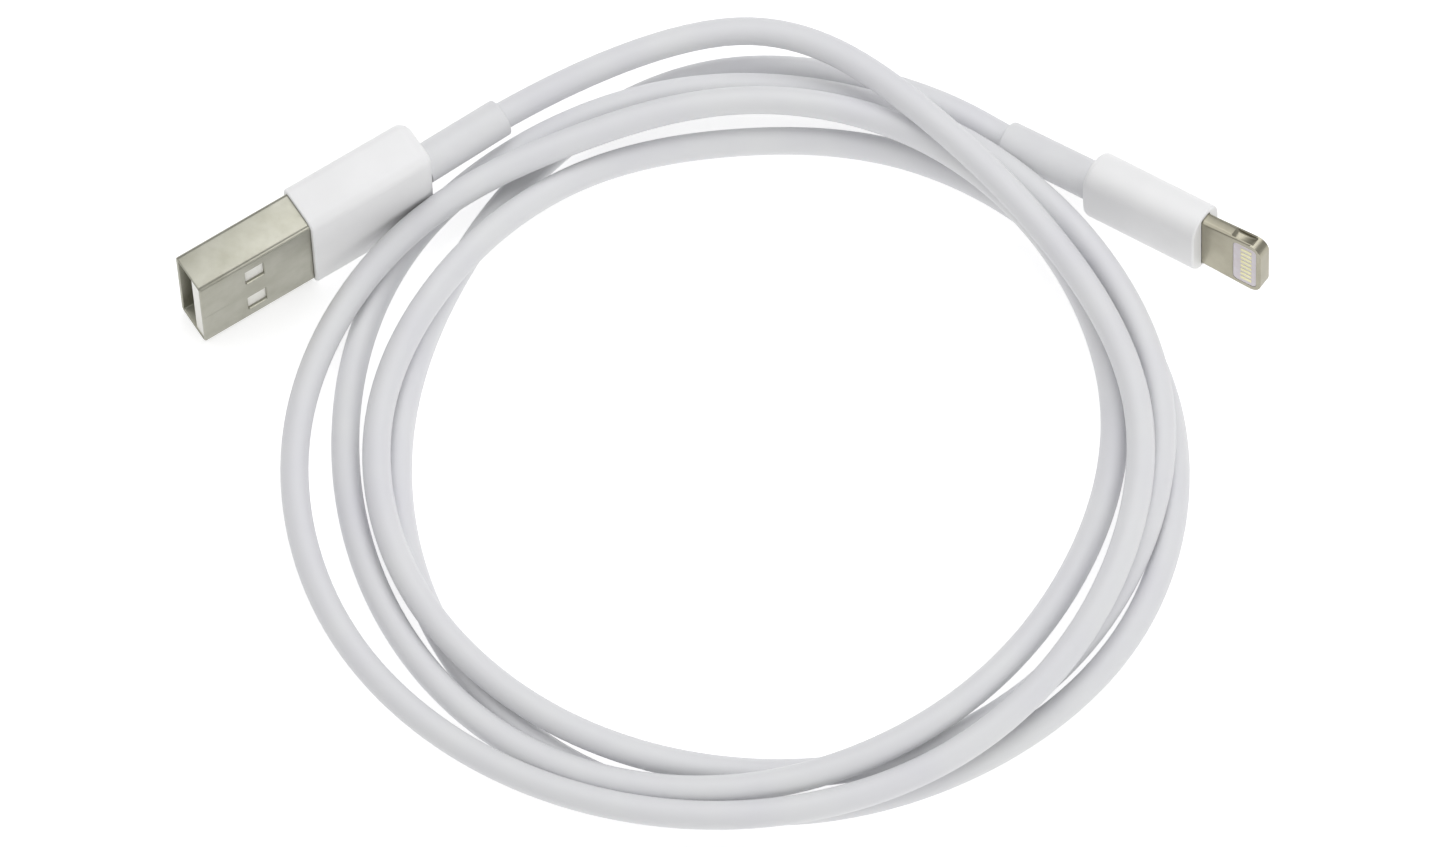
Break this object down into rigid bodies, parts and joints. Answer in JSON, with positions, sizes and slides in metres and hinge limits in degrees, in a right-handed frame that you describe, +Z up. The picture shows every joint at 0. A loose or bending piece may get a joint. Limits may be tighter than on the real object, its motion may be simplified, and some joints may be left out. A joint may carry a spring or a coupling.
{
  "type": "charging cable",
  "caption": "Phone charging cable lying as a loose round coil, with a flat standard plug at one end and a thin reversible tab plug at the other.",
  "frame": {"origin": "on the resting surface, under the middle of the box around the two plugs", "axes": "+Z up from the resting surface, +X from the flat plug's side to the tab plug's side, +Y away from the middle of the coil, which lies on the -Y side"},
  "size_m": [0.1074, 0.0865, 0.013],
  "materials": {
    "cord_jacket": "soft matt thermoplastic elastomer",
    "sleeve_grey": "soft matt moulded sleeve",
    "housing_white": "satin moulded white",
    "shell_nickel": "nickel plated sheet, satin",
    "tab_nickel": "nickel plated, blasted satin",
    "tongue_cream": "moulded cream",
    "pad_insulator": "moulded pinkish white, flush",
    "contact_gold": "thin gold plate",
    "inner_mould": "natural low pressure moulding",
    "shield_tin": "tinned sheet",
    "crimp_steel": "pressed ring",
    "braid_copper": "tinned copper braid",
    "solder": "bright solder",
    "board": "solder mask",
    "chip_black": "moulded package",
    "wire_black": "extruded insulation",
    "wire_green": "extruded insulation",
    "wire_white": "extruded insulation",
    "wire_red": "extruded insulation"
  },
  "bodies": {
    "root": {"cord_coil": "cord_jacket", "usb_shell": "shell_nickel", "usb_tongue": "tongue_cream", "usb_contact_1": "contact_gold", "usb_contact_2": "contact_gold", "usb_contact_3": "contact_gold", "usb_contact_4": "contact_gold", "usb_wire_1": "wire_black", "usb_wire_2": "wire_green", "usb_wire_3": "wire_white", "usb_wire_4": "wire_red", "usb_solder": "solder", "usb_shield_near": "shield_tin", "usb_shield_far": "shield_tin", "usb_inner_mould": "inner_mould", "usb_braid_end": "braid_copper", "usb_crimp_ring": "crimp_steel", "usb_cord_end": "cord_jacket", "usb_housing": "housing_white", "usb_strain_relief": "sleeve_grey", "tab_frame": "tab_nickel", "tab_insulator_near": "pad_insulator", "tab_insulator_far": "pad_insulator", "tab_circuit_board": "board", "tab_chips": "chip_black", "tab_contact_near_1": "contact_gold", "tab_contact_near_2": "contact_gold", "tab_contact_near_3": "contact_gold", "tab_contact_near_4": "contact_gold", "tab_contact_near_5": "contact_gold", "tab_contact_near_6": "contact_gold", "tab_contact_near_7": "contact_gold", "tab_contact_near_8": "contact_gold", "tab_contact_far_1": "contact_gold", "tab_contact_far_2": "contact_gold", "tab_contact_far_3": "contact_gold", "tab_contact_far_4": "contact_gold", "tab_contact_far_5": "contact_gold", "tab_contact_far_6": "contact_gold", "tab_contact_far_7": "contact_gold", "tab_contact_far_8": "contact_gold", "tab_wire_1": "wire_black", "tab_wire_2": "wire_green", "tab_wire_3": "wire_white", "tab_wire_4": "wire_red", "tab_solder": "solder", "tab_shield_near": "shield_tin", "tab_shield_far": "shield_tin", "tab_inner_mould": "inner_mould", "tab_braid_end": "braid_copper", "tab_crimp_ring": "crimp_steel", "tab_cord_end": "cord_jacket", "tab_boot": "housing_white", "tab_strain_relief": "sleeve_grey"}
  },
  "joints": []
}
